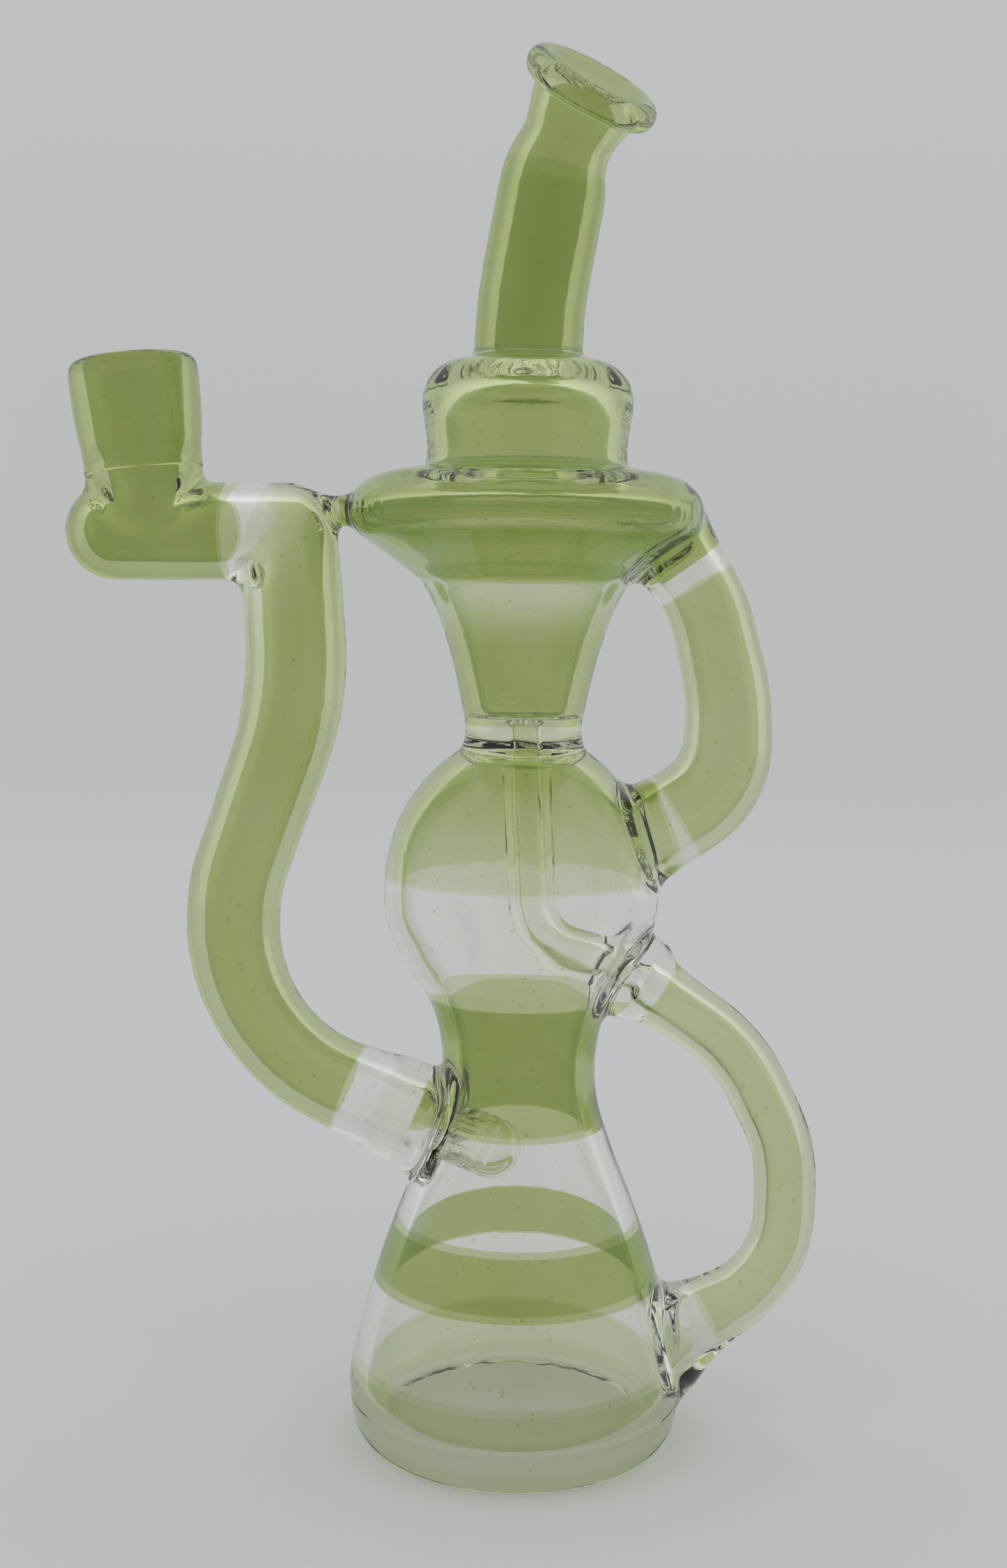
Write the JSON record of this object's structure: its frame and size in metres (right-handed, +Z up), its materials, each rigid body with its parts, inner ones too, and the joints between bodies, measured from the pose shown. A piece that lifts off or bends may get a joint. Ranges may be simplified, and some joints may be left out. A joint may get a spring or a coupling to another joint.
{
  "type": "glass recycler water pipe",
  "caption": "Blown-glass recycler with a banded round base, bulb, funnel and disc stack, bent neck, side joint on an S-shaped inlet tube and two curved water arms.",
  "frame": {"origin": "centre of the flat foot, on the surface the piece stands on", "axes": "+Z up the body's axis, +X towards the two water arms, -X towards the joint and inlet tube, -Y towards the viewer, the way the mouthpiece leans"},
  "size_m": [0.1135, 0.0516, 0.2027],
  "materials": {
    "green_glass": "transparent yellow-green borosilicate, fire-polished",
    "clear_glass": "clear borosilicate, fire-polished"
  },
  "bodies": {
    "root": {"base_band": "green_glass", "middle_band": "green_glass", "waist_band": "green_glass", "bulb_dome": "green_glass", "drain_funnel": "green_glass", "disc_underside": "green_glass", "disc_top": "green_glass", "collar": "green_glass", "neck_tube": "green_glass", "neck_shoulder": "green_glass", "mouthpiece": "green_glass", "mouthpiece_lip": "green_glass", "joint_socket": "green_glass", "joint_elbow": "green_glass", "inlet_s_tube": "green_glass", "brace": "green_glass", "uptake_arm": "green_glass", "return_arm": "green_glass", "foot_disc": "clear_glass", "base_clear_section": "clear_glass", "upper_clear_section": "clear_glass", "bulb_clear_section": "clear_glass", "neck_ring": "clear_glass", "elbow_clear_sleeve": "clear_glass", "inlet_clear_sleeve": "clear_glass", "inlet_weld_ring": "clear_glass", "inlet_boss": "clear_glass", "slitted_diffuser": "clear_glass", "uptake_upper_weld": "clear_glass", "uptake_lower_weld": "clear_glass", "return_port_ring": "clear_glass", "return_clear_sleeve": "clear_glass", "inner_drain_tube": "clear_glass"}
  },
  "joints": []
}
